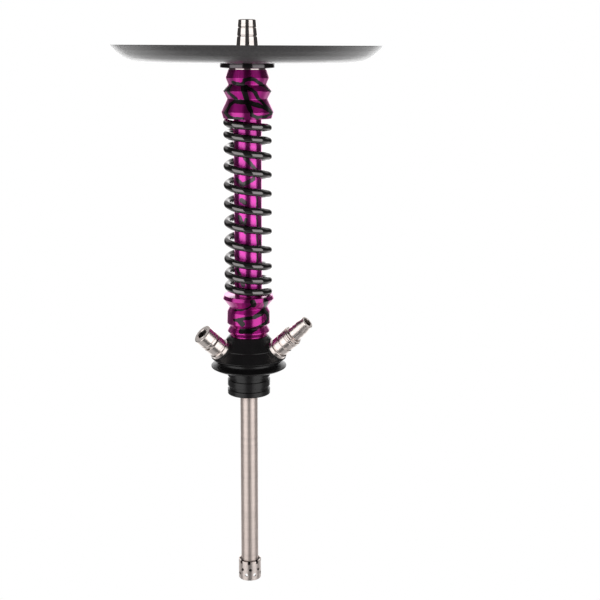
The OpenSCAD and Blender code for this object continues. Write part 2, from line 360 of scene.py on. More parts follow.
class Shader(Nodes):
    """A principled material and short ways to give it colour and marks."""

    def __init__(self, name, **values):
        self.material = bpy.data.materials.new(name)
        self.material.use_nodes = True
        super().__init__(self.material.node_tree)
        self.bsdf = self.tree.nodes["Principled BSDF"]
        for key, value in values.items():
            self.set(key.replace("_", " "), value)
        self.place = self.add("ShaderNodeTexCoord").outputs["Object"]

    def set(self, key, value):
        self.feed(self.bsdf.inputs[key], value)

    def split(self, place):
        return self.add("ShaderNodeSeparateXYZ", Vector=place).outputs

    def round_place(self):
        """(radius, 0, height) of a point, for marks that run round the local Z axis."""
        parts = self.split(self.place)
        x2 = self.math("MULTIPLY", parts["X"], parts["X"])
        y2 = self.math("MULTIPLY", parts["Y"], parts["Y"])
        r = self.math("SQRT", self.math("ADD", x2, y2))
        return self.add("ShaderNodeCombineXYZ", X=r, Z=parts["Z"]).outputs[0]

    def noise(self, place, scale, detail=2.0, roughness=0.5, output="Fac"):
        return self.add(
            "ShaderNodeTexNoise", Vector=place, Scale=scale, Detail=detail, Roughness=roughness
        ).outputs[output]

    def mix(self, share, a, b):
        node = self.add("ShaderNodeMix", {"data_type": "RGBA"})
        self.feed(node.inputs["Factor"], share)
        self.feed(node.inputs["A"], a)
        self.feed(node.inputs["B"], b)
        return node.outputs["Result"]

    def mottle(self, noise, low, high, colour, times):
        """The colour where the noise is low, and that colour multiplied where it is high."""
        return self.mix(self.ramp(noise, low, high), shade(colour), shade([c * times for c in colour]))

    def bump(self, height, distance):
        """Relief, with its depth in metres."""
        relief = self.add("ShaderNodeBump", Strength=1.0, Height=height, Distance=distance)
        self.set("Normal", relief.outputs[0])

    def brush_round(self):
        """Anisotropy that runs round the local Z axis."""
        self.set("Tangent", self.add(
            "ShaderNodeTangent", {"direction_type": "RADIAL", "axis": "Z"}
        ).outputs[0])


def shade(colour):
    """A colour of three values with full alpha."""
    return (*colour, 1.0)


# ---------------------------------------------------------------- materials


def turned_steel(name, colour, rough, groove, anisotropy=0.5, bore=None, bore_shade_tone=0.07):
    """Stainless steel with the marks of the lathe running round it, and painted shade in its bore (radius
    in mm).
    """
    s = Shader(name, Metallic=1.0, Anisotropic=anisotropy, Anisotropic_Rotation=0.25)
    around = s.round_place()
    marks = s.noise(around, 2600, 3.0, 0.6)
    bands = s.noise(around, 260, 2.0)
    stains = s.noise(s.place, 90, 3.0)
    s.set("Roughness", s.ramp(s.math("ADD", marks, stains), 0.6, 1.4, rough - 0.04, rough + 0.06))
    tone = s.mottle(bands, 0.35, 0.7, colour, 0.88)
    if bore:
        # Painted shade: the inside of the bore is coloured dark, for the shade that falls in the hole.
        inside = shade((bore_shade_tone, bore_shade_tone * 0.9, bore_shade_tone * 0.86))
        past_bore = s.ramp(s.split(around)["X"], (bore + 0.05) * MM, (bore + 0.15) * MM)
        tone = s.mix(past_bore, inside, tone)
    s.set("Base Color", tone)
    s.bump(marks, groove)
    s.brush_round()
    return s.material


def stroke_distance(s, point, strokes, girth):
    """Distance in mm from a point (girth, height) to the given strokes, less their half width.

    A stroke is (width, [(degrees from the front, height in mm), ...]).
    """
    blend = 1.2
    nearest = None
    for width, dots in strokes:
        flat = [Vector((math.radians(turn) * girth, height, 0)) for turn, height in dots]
        for a, b in zip(flat, flat[1:]):
            along = b - a
            from_a = s.vector("SUBTRACT", point, tuple(a))["Vector"]
            share = s.vector("DOT_PRODUCT", from_a, tuple(along / along.length_squared))["Value"]
            held = s.add("ShaderNodeClamp", Value=share).outputs[0]
            foot = s.vector("SCALE", tuple(along), scale=held)["Vector"]
            gap = s.vector("DISTANCE", from_a, foot)["Value"]
            reach = s.math("SUBTRACT", gap, width / 2)
            nearest = reach if nearest is None else s.math("SMOOTH_MIN", nearest, reach, blend)
    return nearest


def vein_share(s, girth, strokes, cover):
    """1 on a black vein and 0 beside it: strokes drawn in front, lines grown by noise behind."""
    wander = 2.2
    parts = s.split(s.place)
    turn = s.math("ARCTAN2", parts["X"], s.math("MULTIPLY", parts["Y"], -1.0))
    across = s.math("MULTIPLY", turn, girth)
    up = s.math("MULTIPLY", parts["Z"], 1 / MM)
    flat = s.add("ShaderNodeCombineXYZ", X=across, Y=up).outputs[0]
    wave = s.noise(s.place, 170, output="Color")
    shaken = s.vector("MULTIPLY_ADD", wave, (wander, wander, 0), flat)["Vector"]
    centred = s.vector("SUBTRACT", shaken, (wander / 2, wander / 2, 0))["Vector"]
    drawn = stroke_distance(s, centred, strokes, girth)

    field = s.noise(s.place, 52, 1.5, 0.45)
    swell = s.noise(s.place, 75, 1.0)
    line = s.math("ABSOLUTE", s.math("SUBTRACT", field, 0.5))
    width = s.ramp(swell, cover, cover + 0.3, 0.0, 0.055)
    grown = s.math("MULTIPLY", s.math("SUBTRACT", line, width), 60.0)
    behind = s.ramp(s.math("ABSOLUTE", turn), 1.25, 1.5)
    kept_back = s.math("MULTIPLY", s.math("SUBTRACT", 1.0, behind), 40.0)
    nearest = s.math("MINIMUM", drawn, s.math("ADD", grown, kept_back))
    return s.ramp(nearest, -0.12, 0.12, 1.0, 0.0, smooth=True)


def anodised(name, colour, dark, girth, strokes, cover):
    """Purple anodised aluminium with black veins. The back has fewer of them as cover rises."""
    s = Shader(
        name, Metallic=1.0, Anisotropic=0.85, Anisotropic_Rotation=0.25,
        Coat_Weight=0.6, Coat_Roughness=0.12,
    )
    vein = vein_share(s, girth, strokes, cover)
    marks = s.noise(s.round_place(), 2200, 3.0, 0.6)
    cloud = s.noise(s.place, 130, 3.0)
    s.set("Base Color", s.mix(vein, s.mottle(cloud, 0.3, 0.7, colour, 0.86), shade(dark)))
    rough = s.ramp(marks, 0.3, 0.7, 0.32, 0.38)
    s.set("Roughness", s.math("ADD", rough, s.math("MULTIPLY", vein, 0.06)))
    s.bump(marks, 0.00002)
    s.brush_round()
    return s.material


def satin_black(name, colour, rough, grain):
    """Bead-blasted, black anodised aluminium."""
    s = Shader(name, Metallic=0.0, Specular_IOR_Level=0.35)
    pits = s.noise(s.place, 2400, 2.0, 0.7)
    cloud = s.noise(s.place, 70, 3.0)
    s.set("Base Color", s.mottle(cloud, 0.3, 0.7, colour, 1.35))
    s.set("Roughness", s.ramp(s.math("ADD", pits, cloud), 0.7, 1.3, rough - 0.05, rough + 0.06))
    s.bump(pits, grain)
    return s.material


def gloss_black(name, colour, rough):
    """Black chrome: dark and mirror-like, with a faint orange peel."""
    s = Shader(name, Metallic=1.0)
    peel = s.noise(s.place, 420, 2.0)
    dust = s.noise(s.place, 1500, 2.0, 0.7)
    s.set("Base Color", s.mottle(dust, 0.45, 0.8, colour, 0.86))
    s.set("Roughness", s.ramp(dust, 0.3, 0.7, rough - 0.03, rough + 0.03))
    s.bump(peel, 0.00004)
    return s.material


def tray_coat(name):
    """Fine textured powder coat: matt from above, bright at a low angle."""
    s = Shader(name, Coat_Weight=0.7, Coat_Roughness=0.25, Coat_IOR=1.5)
    # Painted shade: the hollows of the grain are coloured darker than its crests.
    hollow_painted_shade, crest = shade((0.002, 0.0018, 0.0018)), shade((0.034, 0.028, 0.03))
    grain = s.noise(s.place, 620, 3.0, 0.75)
    cloud = s.noise(s.place, 25, 3.0)
    s.set("Base Color", s.mix(s.ramp(grain, 0.35, 0.75), hollow_painted_shade, crest))
    s.set("Roughness", s.ramp(s.math("ADD", grain, cloud), 0.7, 1.3, 0.36, 0.5))
    s.bump(grain, 0.00035)
    return s.material


def rubber(name):
    """Black rubber with a dusty skin."""
    s = Shader(name)
    clean, dusty = shade((0.012, 0.012, 0.012)), shade((0.03, 0.03, 0.03))
    skin_noise = s.noise(s.place, 1200, 3.0, 0.6)
    s.set("Base Color", s.mix(s.ramp(skin_noise, 0.3, 0.8), clean, dusty))
    s.set("Roughness", s.ramp(skin_noise, 0.3, 0.7, 0.45, 0.65))
    s.bump(skin_noise, 0.00004)
    return s.material


# Black strokes on the purple pieces: width in mm, then (degrees from the front, height in mm)
UPPER_VEINS = [
    (3.0, [(-42, 257), (-23, 256), (-12, 255.5)]),
    (3.2, [(-12, 255.5), (-5, 259.5), (10, 260.5), (27, 259), (41, 256.5), (58, 254), (76, 249)]),
    (4.2, [(-12, 255.5), (-5, 251), (-1, 244.5), (3, 240), (8, 234.5)]),
    (2.7, [(8, 234.5), (13, 230), (26, 228), (48, 228.5), (70, 231)]),
    (3.2, [(-1, 254), (12, 251.5), (22, 248.5), (30, 244.5), (46, 240.5), (58, 235), (72, 231)]),
    (3.9, [(2, 240.5), (-16, 241), (-33, 241.5), (-45, 238.5), (-52, 232), (-44, 227.5)]),
    (3.5, [(-50, 254), (-48, 248.5), (-37, 245.5), (-29, 243.5)]),
    (3.1, [(-50, 254), (-66, 250), (-80, 252)]),
    (3.9, [(10, 240), (30, 238), (48, 235.5), (64, 232.5)]),
    (2.7, [(-44, 227.8), (-28, 227.2), (-8, 227)]),
]
LOWER_VEINS = [
    (4.2, [(12, 66), (16, 62.5)]),
    (1.8, [(10, 62), (-2, 59), (-18, 57.4), (-40, 56.2)]),
    (4.2, [(42, 66), (52, 61.5), (56, 58), (50, 55)]),
    (4.5, [(54, 56.5), (36, 53.6), (20, 51.8)]),
    (3.0, [(20, 51.8), (3, 50.2), (-16, 49.4), (-38, 47.4)]),
    (4.0, [(54, 56), (62, 52), (68, 48), (58, 45), (42, 42.6), (26, 40.6)]),
    (4.2, [(26, 40.6), (8, 38.4), (-22, 38)]),
    (5.0, [(-24, 47.8), (-14, 45)]),
    (3.2, [(70, 49), (84, 52)]),
]
SLEEVE_VEINS = [
    (3.6, [(-10, 192), (13, 187.5), (34, 182)]),
    (3.8, [(-46, 173.5), (-22, 168.5), (1, 171.5), (26, 174)]),
    (3.0, [(-22, 168.5), (-34, 164)]),
    (4.6, [(-24, 155), (-10, 153.2)]),
    (4.2, [(-34, 140), (-28, 136), (-14, 132), (-8, 127)]),
    (3.0, [(-14, 132), (-6, 138)]),
    (4.2, [(-48, 92), (-36, 88), (-20, 79)]),
    (1.8, [(41, 162), (42, 130), (40, 94)]),
    (2.6, [(60, 118), (74, 112), (70, 104)]),
    (2.6, [(-70, 200), (-62, 210)]),
]

# Painted light: the ports' steel is a paler copy of the turned steel, for the light on their undersides.
PORT_TONE_PAINTED_LIGHT = (0.82, 0.74, 0.7)
STEEL = turned_steel("turned_steel", (0.74, 0.68, 0.65), 0.12, 0.00001, 0.8)
PORT_STEEL = turned_steel("port_steel", PORT_TONE_PAINTED_LIGHT, 0.27, 0.000004, 0.6)
# Painted shade in the cap's mouth: its bore is coloured dark grey.
CAP_STEEL = turned_steel("cap_steel", PORT_TONE_PAINTED_LIGHT, 0.27, 0.000004, 0.6, bore=4.45, bore_shade_tone=0.26)
BRUSHED = turned_steel("brushed_steel", (0.8, 0.69, 0.64), 0.48, 0.00003, 0.55)
# Painted shade inside the diffuser: its bore is coloured near black.
DIFFUSER_STEEL = turned_steel("diffuser_steel", (0.76, 0.67, 0.63), 0.36, 0.00001, 0.5, bore=9.35)
# Painted shade: the downstem's thread sits inside the diffuser and is coloured near black for the shade
# there.
THREAD_STEEL_PAINTED_SHADE = turned_steel("thread_steel_painted_shade", (0.05, 0.045, 0.042), 0.4, 0.00001)
# Painted light: the sleeve gets paler copies of the purple and the vein colour, for the brighter light on
# it.
PURPLE, PURPLE_PAINTED_LIGHT = (0.53, 0.014, 0.3), (0.78, 0.06, 0.5)
VEIN, VEIN_PAINTED_LIGHT = (0.014, 0.013, 0.013), (0.11, 0.09, 0.1)
COLLAR_GIRTH = 19.0     # mm, mean radius of the collars
PURPLE_UPPER = anodised("anodised_purple_upper", PURPLE, VEIN, COLLAR_GIRTH, UPPER_VEINS, 0.36)
PURPLE_LOWER = anodised("anodised_purple_lower", PURPLE, VEIN, COLLAR_GIRTH, LOWER_VEINS, 0.36)
PURPLE_SLEEVE = anodised("anodised_purple_sleeve", PURPLE_PAINTED_LIGHT, VEIN_PAINTED_LIGHT, SLEEVE_R, SLEEVE_VEINS, 0.46)
SATIN = satin_black("satin_black", (0.008, 0.0075, 0.008), 0.3, 0.00003)
SEAT_BLACK = gloss_black("seat_black", (0.11, 0.1, 0.105), 0.14)
WIRE = gloss_black("gloss_black", (0.17, 0.16, 0.16), 0.08)
TRAY = tray_coat("tray_coat")
RUBBER = rubber("rubber")

# ---------------------------------------------------------------- stem, from the top


def build_cone():
    """The taper with two rings cut in it, and the threaded shank that screws into the core tube."""
    foot = TRAY_LOW + CLEAR
    tip = foot + CONE_L
    neck = foot - CONE_NECK_L
    slope = (CONE_R - CONE_TIP_R) / CONE_L

    def ring(depth):
        r, z = CONE_TIP_R + slope * depth, tip - depth
        half_top, half_floor, deep = 0.7, 0.35, 0.45
        return [
            (r + slope * half_top, z - half_top, 0.15), (r - deep, z - half_floor, 0.1),
            (r - deep, z + half_floor, 0.1), (r - slope * half_top, z + half_top, 0.15),
        ]

    cone = lathe("bowl_cone_taper", [
        (CONE_BORE_R, neck), (CONE_NECK_R, neck), (CONE_NECK_R, foot, 0.1), (CONE_R, foot, 0.3),
        *ring(13.9), *ring(6.7), (CONE_TIP_R, tip, 0.7), (CONE_BORE_R, tip, 0.5),
    ])
    place(cone, "cone", "turned_steel", STEEL, "bowl_cone")
    shank = thread("bowl_cone_thread", 6.95, CONE_BORE_R, 0.6, 1.5, foot - 13, neck)
    place(shank, "cone", "turned_steel", STEEL)


def build_tray():
    """A dish with a flat middle and a rim that curves up. Its points are (in from the rim, up)."""
    flat = TRAY_R - TRAY_HOLE_R
    under = [
        (flat, 0), (27.5, 0, 30), (19, 1, 20), (13.5, 2.8, 16), (9, 5.6, 16), (4.3, 9.6, 16),
        (0, RIM_H, 0.35),
    ]
    inside = [
        (TRAY_SHEET, RIM_H, 0.35), (5.4, 10.7, 14), (10, 6.9, 14), (14.3, 4.3, 14),
        (19.4, 2.6, 18), (27.6, TRAY_SHEET, 28), (flat, TRAY_SHEET),
    ]
    outline = [(TRAY_R - p[0], p[1] + TRAY_LOW + CLEAR, *p[2:]) for p in under + inside]
    dish = lathe("tray_dish", outline, radius=0.4, segments=320)
    place(dish, "tray", "textured_black_tray", TRAY, "tray")


def build_seat():
    """The disc under the tray, the rubber pad on it and the bright spacer ring below it."""
    groove, groove_r = SEAT_LOW + 3.1, SEAT_R - 0.6
    spigot_r, spigot_top = TRAY_HOLE_R - 0.3, TRAY_LOW + 0.9
    recess_r, mouth_r = 11.5, 9.8
    seat = lathe("tray_seat_disc", [
        (CORE_R, SEAT_LOW), (SEAT_R - 1.3, SEAT_LOW, 0.3), (SEAT_R, SEAT_LOW + 0.5, 0.3),
        (SEAT_R, groove, 0.2), (groove_r, groove + 0.2, 0.1), (groove_r, groove + 0.5, 0.1),
        (SEAT_R, groove + 0.7, 0.2), (SEAT_R, PAD_LOW - 0.4, 0.3), (SEAT_R - 0.8, PAD_LOW, 0.3),
        (PAD_R + 0.1, PAD_LOW, 0.1), (spigot_r, PAD_LOW, 0.1), (spigot_r, spigot_top, 0.2),
        (recess_r, spigot_top, 0.2), (recess_r, TRAY_LOW, 0.1), (mouth_r, TRAY_LOW),
        (mouth_r, CORE_TOP), (CORE_R, CORE_TOP),
    ], radius=0.15)
    place(seat, "stem", "satin_black_aluminium", SEAT_BLACK, "tray_seat")
    pad_hole_r = TRAY_HOLE_R - 0.1
    pad = lathe("tray_pad_ring", [
        (pad_hole_r, PAD_LOW), (PAD_R, PAD_LOW), (PAD_R, TRAY_LOW, 0.2), (pad_hole_r, TRAY_LOW, 0.2),
    ], radius=0.1)
    place(pad, "stem", "seal_rubber", RUBBER, "tray_pad")
    spacer = lathe("spacer_ring_steel", [
        (CORE_R, COLLAR_TOP), (SPACER_R, COLLAR_TOP, 0.25), (SPACER_R, SEAT_LOW, 0.25),
        (CORE_R, SEAT_LOW),
    ], radius=0.1)
    place(spacer, "stem", "turned_steel", STEEL, "spacer_ring")


def build_collars():
    """The two ridged collars and the sleeve between them."""
    upper = lathe("upper_collar_shell", [
        (CORE_R, COLLAR_TOP), (16.8, COLLAR_TOP, 0.3), (19.4, 260.9, 0.35), (16.9, 255, 0.9),
        (21.7, 249.7, 0.35), (18, 242.8, 0.9), (23.4, 231.8, 0.35), (21.8, PERCH_HIGH, 0.3),
        (SLEEVE_R, PERCH_HIGH), (SLEEVE_R, SLEEVE_HIGH), (CORE_R, SLEEVE_HIGH),
    ])
    place(upper, "stem", "anodised_purple", PURPLE_UPPER, "upper_collar")
    lower = lathe("lower_collar_shell", [
        (CORE_R, HUB_TOP), (16.6, HUB_TOP, 0.2), (17, HUB_TOP + 0.4, 0.2), (17, 31.4, 0.4),
        (19.2, 34.6, 0.3), (19.2, 35.6, 0.3), (17, 39.3, 0.5), (19.75, 42.6, 0.4), (19.4, 53.4, 0.4),
        (17.3, 57.3, 0.6), (23.3, 65, 0.35), (22.2, PERCH_LOW, 0.3), (SLEEVE_R, PERCH_LOW),
        (SLEEVE_R, SLEEVE_LOW), (CORE_R, SLEEVE_LOW),
    ])
    place(lower, "stem", "anodised_purple", PURPLE_LOWER, "lower_collar")
    sleeve = lathe("column_sleeve_tube", [
        (CORE_R, SLEEVE_LOW), (SLEEVE_R, SLEEVE_LOW), (SLEEVE_R, SLEEVE_HIGH), (CORE_R, SLEEVE_HIGH),
    ])
    place(sleeve, "stem", "anodised_purple", PURPLE_SLEEVE, "column_sleeve")


def build_spring():
    """Left-handed from +X, closer at both ends: the same rule as the CAD spring."""
    rise = PERCH_HIGH - PERCH_LOW - 2 * WIRE_R
    mid = (rise - RAMP * END_PITCH) / (TURNS - RAMP)

    def ramp(t):
        return END_PITCH * t + (mid - END_PITCH) * t * t / (2 * RAMP)

    def height(t):
        if t < RAMP:
            return ramp(t)
        if t > TURNS - RAMP:
            return rise - ramp(TURNS - t)
        return ramp(RAMP) + mid * (t - RAMP)

    def centre(t):
        angle = -2 * math.pi * t
        return Vector((COIL_R * math.cos(angle), COIL_R * math.sin(angle), PERCH_LOW + WIRE_R + height(t)))

    per_turn, sides, edge = 56, 28, 0.5
    rings = round(TURNS * per_turn)
    rounding = edge / (2 * math.pi * COIL_R)
    steps = [(0.0, WIRE_R - edge), (rounding / 3, WIRE_R - edge / 3)]
    steps += [(rounding + (TURNS - 2 * rounding) * i / rings, WIRE_R) for i in range(rings + 1)]
    steps += [(TURNS - rounding / 3, WIRE_R - edge / 3), (TURNS, WIRE_R - edge)]
    bm = bmesh.new()
    loops = []
    for t, r in steps:
        c = centre(t)
        along = (centre(t + 0.001) - centre(t - 0.001)).normalized()
        out = Vector((c.x, c.y, 0)).normalized()
        up = along.cross(out).normalized()
        loops.append([
            bm.verts.new((c + r * (math.cos(a) * out + math.sin(a) * up)) * MM)
            for a in (2 * math.pi * k / sides for k in range(sides))
        ])
    for a, b in zip(loops, loops[1:]):
        skin(bm, a, b)
    bm.faces.new(loops[0])
    bm.faces.new(loops[-1])
    place(finish_mesh("spring_coil", bm, sharp=50), "stem", "gloss_black_wire", WIRE, "spring")


def build_core():
    """The two steel tubes that end in the hub, and the downstem's threaded tip."""
    core = lathe("core_tube_steel", [
        (CORE_BORE_R, CORE_LOW), (CORE_R, CORE_LOW), (CORE_R, CORE_TOP), (CORE_BORE_R, CORE_TOP),
    ])
    place(core, "stem", "brushed_steel_tube", BRUSHED, "core_tube")
    down = lathe("downstem_tube_steel", [
        (DOWN_BORE_R, TIP_THREAD_TOP), (DOWN_R, TIP_THREAD_TOP, 0.2), (DOWN_R, DOWN_TOP),
        (DOWN_BORE_R, DOWN_TOP),
    ])
    place(down, "stem", "brushed_steel_tube", BRUSHED, "downstem_tube")
    # The thread gets the near-black steel: painted shade inside the diffuser.
    tip = thread("downstem_thread", DOWN_R, DOWN_BORE_R, 0.4, 1.0, TUBE_END, TIP_THREAD_TOP)
    place(tip, "stem", "brushed_steel_tube", THREAD_STEEL_PAINTED_SHADE)


# ---------------------------------------------------------------- hub


def build_hub():
    """The two-step cone with its flange, plug and bosses, drilled for the tubes and the ports."""
    groove = PLUG_R - 1.3
    hub = lathe("hub_body", [
        (0, -PLUG_L), (PLUG_R, -PLUG_L, 0.6), (PLUG_R, -19.9, 0.25), (groove, -19.9, 0.3),
        (groove, -16.5, 0.3), (PLUG_R, -16.5, 0.25), (PLUG_R, -10.9, 0.25), (groove, -10.9, 0.3),
        (groove, -7.4, 0.3), (PLUG_R, -7.4, 0.25), (PLUG_R, 0, 0.3),
        (FLANGE_R - 2.4, 0, 1.2), (FLANGE_R, 1.4, 0.4), (FLANGE_R, 2.2, 0.4),
        (29.2, 4.9, 0.6), (28.4, 5.7, 0.6), (28.4, 7.6, 0.6), (33.4, 9.4, 0.3), (34.4, 10.2, 0.45),
        (27.5, 18.4, 0.35), (26.9, 18.5, 0.12), (26.9, 19.1, 0.3),
        (18, HUB_TOP - 0.4, 0.3), (17.6, HUB_TOP, 0.2), (0, HUB_TOP),
    ])
    bosses = [
        lathe("tool", [(0, -14), (BOSS_R, -14), (BOSS_R, 0, 0.4), (0, 0)], port, 0.1, 128)
        for port in PORTS
    ]
    trim = rod(60, -40, 5.8, None, 64)
    for boss in bosses:
        apply_boolean(boss, trim, "DIFFERENCE")
    bpy.data.objects.remove(trim)
    boolean(hub, bosses, "UNION")
    seats = [rod(BOSS_R + 0.1, 0, 8, port, 128) for port in PORTS]
    down_groove_r, core_groove_r = 9.8, 11.8
    bore = lathe("tool", [
        (0, -PLUG_L - 5), (PLUG_BORE_R + 0.4, -PLUG_L - 5), (PLUG_BORE_R + 0.4, -PLUG_L + 0.1),
        (PLUG_BORE_R, -PLUG_L + 0.5), (PLUG_BORE_R, 8), (DOWN_R, 8),
        (DOWN_R, 12.4), (down_groove_r, 12.4), (down_groove_r, 14.6), (DOWN_R, 14.6),
        (DOWN_R, DOWN_TOP), (DOWN_BORE_R, DOWN_TOP), (DOWN_BORE_R, CORE_LOW), (CORE_R, CORE_LOW),
        (CORE_R, 23.4), (core_groove_r, 23.4), (core_groove_r, 25.6), (CORE_R, 25.6),
        (CORE_R, 40), (0, 40),
    ], None, 0, 128)
    ways = [rod(PORT_BORE_R, -19, 12, port, 64) for port in PORTS]
    boolean(hub, seats + [bore] + ways)
    place(hub, "stem", "satin_black_aluminium", SATIN, "hub")


# ---------------------------------------------------------------- ports


def build_valve():
    """The purge valve: a body with a ring of vents in its neck, and a screwed cap with lobes."""
    ball_hole_r, ball_room_r, neck_groove, root_r = 2.8, 5.5, 14.9, 6.95
    body = lathe("valve_body_steel", [
        (ball_hole_r, -PORT_INSIDE), (PORT_BORE_R, -PORT_INSIDE), (PORT_BORE_R, GASKET),
        (PORT_FOOT_R, GASKET, 0.3), (PORT_FOOT_R, 4.4, 0.4), (PORT_R - 0.3, 4.4, 0.15),
        (PORT_R - 0.3, 6.4, 0.1), (PORT_R, 6.7, 0.2), (PORT_R, 13.6, 0.4), (VALVE_NECK_R, 13.6, 0.1),
        (VALVE_NECK_R, neck_groove, 0.1), (root_r, VALVE_THREAD_LOW, 0.1),
        (root_r, VALVE_THREAD_TOP, 0.2), (ball_room_r, VALVE_THREAD_TOP), (ball_room_r, 6.7),
        (ball_hole_r, 4),
    ], VALVE)
    vent_r, vents = 0.6, 12
    boolean(body, [joined([
        rod(vent_r, 4.5, 9, VALVE @ turned(360 / vents * k) @ moved(z=14.3) @ turned(90, "Y"), 20)
        for k in range(vents)
    ])])
    place(body, "stem", "turned_steel", PORT_STEEL, "valve_body")
    neck = thread(
        "valve_body_thread", 7.45, 6.9, 0.45, 1.0, VALVE_THREAD_LOW, VALVE_THREAD_TOP, VALVE
    )
    place(neck, "stem", "turned_steel", PORT_STEEL)
    seal_r, skirt_r, mouth_r = 7.55, 8.3, 4.5
    cap = lathe("valve_cap_steel", [
        (0, 17.5), (5.2, 17.5), (5.2, 19.9), (seal_r, 19.9), (seal_r, 16.9), (skirt_r, 16.9),
        (skirt_r, 15, 0.1), (PORT_R, 15, 0.35), (PORT_R, 17.4, 0.2), (PORT_R - 0.4, 17.6, 0.1),
        (PORT_R - 0.4, 17.8, 0.1), (PORT_R, 18, 0.2), (PORT_R, VALVE_L, 0.6),
        (5.7, VALVE_L, 0.15), (5.4, VALVE_L - 0.5, 0.1), (5, VALVE_L - 0.5, 0.1),
        (4.7, VALVE_L, 0.15), (mouth_r, VALVE_L - 0.3, 0.1), (mouth_r, VALVE_L - 4.6),
        (0, VALVE_L - 4.6),
    ], VALVE, radius=0.15)
    lobes = 5
    boolean(cap, [rod(1.6, 16, 24, VALVE, 32)] + [
        rod(1.1, 16, 24, VALVE @ turned(360 / lobes * k) @ moved(x=2.4), 24) for k in range(lobes)
    ])
    place(cap, "cap", "turned_steel", CAP_STEEL, "valve_cap")


def build_hose_port():
    """The port with its double ridge, and the adapter with its ring and barbed nozzle."""
    socket_r, dip_r = 6.55, PORT_R - 0.8
    port = lathe("hose_port_steel", [
        (HOSE_BORE_R, -PORT_INSIDE), (PORT_BORE_R, -PORT_INSIDE), (PORT_BORE_R, GASKET),
        (PORT_FOOT_R, GASKET, 0.3), (PORT_FOOT_R, 4.3, 0.5), (dip_r, 5.1, 0.2), (dip_r, 6, 0.2),
        (PORT_R, 6.4, 0.25), (PORT_R, 12, 0.25), (dip_r, 12.4, 0.2), (dip_r, 13.3, 0.2),
        (PORT_R, 13.7, 0.25), (PORT_R, 18.8, 0.2), (PORT_R - 0.5, 19.1, 0.15),
        (PORT_R - 0.5, 19.6, 0.15), (PORT_R, 19.9, 0.2), (PORT_R, HOSE_PORT_L, 0.35),
        (socket_r, HOSE_PORT_L, 0.3), (socket_r, 8.6), (HOSE_BORE_R, 8.6),
    ], HOSE)
    place(port, "stem", "turned_steel", PORT_STEEL, "hose_port")
    flange = HOSE_PORT_L + 0.2
    tip = HOSE_PORT_L + NOZZLE_L
    first = flange + 4.2
    last = tip - 1.6
    barb = (last - first) / 3
    flange_r = PORT_R + 0.2
    adapter = lathe("hose_adapter_steel", [
        (HOSE_BORE_R, 9), (SPIGOT_R, 9, 0.5), (SPIGOT_R, 10.8), (SPIGOT_GROOVE_R, 10.8),
        (SPIGOT_GROOVE_R, 12), (SPIGOT_R, 12), (SPIGOT_R, 15.8), (SPIGOT_GROOVE_R, 15.8),
        (SPIGOT_GROOVE_R, 17), (SPIGOT_R, 17), (SPIGOT_R, flange, 0.1), (flange_r, flange, 0.35),
        (flange_r, flange + 1.5, 0.35), (7.9, flange + 1.5, 0.2), (7.9, flange + 2.2, 0.2),
        (8.7, flange + 2.2, 0.3), (8.7, flange + 3.4, 0.45), (6.4, flange + 3.4, 0.4),
        (6.2, first, 0.2), (7.2, first, 0.3), (6.4, first + 0.85 * barb, 0.12),
        (7, first + 0.85 * barb, 0.25), (6.3, first + 1.75 * barb, 0.12),
        (6.9, first + 1.75 * barb, 0.25), (5.6, last, 0.15), (6, last + 0.1, 0.15),
        (6, tip, 0.4), (HOSE_BORE_R, tip, 0.3),
    ], HOSE, radius=0.12)
    place(adapter, "adapter", "turned_steel", PORT_STEEL, "hose_adapter")


# ---------------------------------------------------------------- diffuser


def build_diffuser():
    """A thin shell open below, with notches in its top rim and two staggered rows of holes."""
    inner_r, ledge, ledge_r = DIFFUSER_R - DIFFUSER_WALL, TUBE_END - 2.2, 6.7
    diffuser = lathe("diffuser_shell", [
        (DIFFUSER_NECK_R, DIFFUSER_TOP, 0.3), (DIFFUSER_R, DIFFUSER_TOP, 0.35),
        (DIFFUSER_R, DIFFUSER_LOW, 1.0), (inner_r, DIFFUSER_LOW, 0.2), (inner_r, ledge),
        (ledge_r, ledge), (ledge_r, TUBE_END - 1.3), (DIFFUSER_NECK_R, TUBE_END - 1.3),
    ], radius=0.15)
    around, notch_w, notch_h, hole_r = 8, 2.4, 2.6, 1.55
    notch_turn, rows = -92, ((5.6, -61.5), (10.6, -84))
    notches, holes = [], []
    for k in range(around):
        step = 360 / around * k
        notch = (8, notch_w, 2 * notch_h)
        notches.append(block(notch, (11.5, 0, DIFFUSER_TOP), turned(step + notch_turn)))
        for height, start in rows:
            sideways = turned(step + start) @ moved(z=DIFFUSER_LOW + height) @ turned(90, "Y")
            holes.append(rod(hole_r, 6, 13, sideways, 40))
    boolean(diffuser, [joined(notches), joined(holes)])
    place(diffuser, "diffuser", "brushed_steel_tube", DIFFUSER_STEEL, "diffuser")


# ---------------------------------------------------------------- seals and the ball


def paint_packed_pieces():
    """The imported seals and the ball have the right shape; they only need their materials."""
    seals = (
        "downstem_seal", "diffuser_seal", "core_seal", "bowl_cone_seal", "valve_gasket",
        "valve_cap_seal", "hose_port_gasket", "hose_seal_inner", "hose_seal_outer",
    )
    paints = {name: RUBBER for name in seals} | {"valve_ball": STEEL}
    for name, material in paints.items():
        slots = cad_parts[name].data.materials
        slots.clear()
        slots.append(material)


# ---------------------------------------------------------------- studio


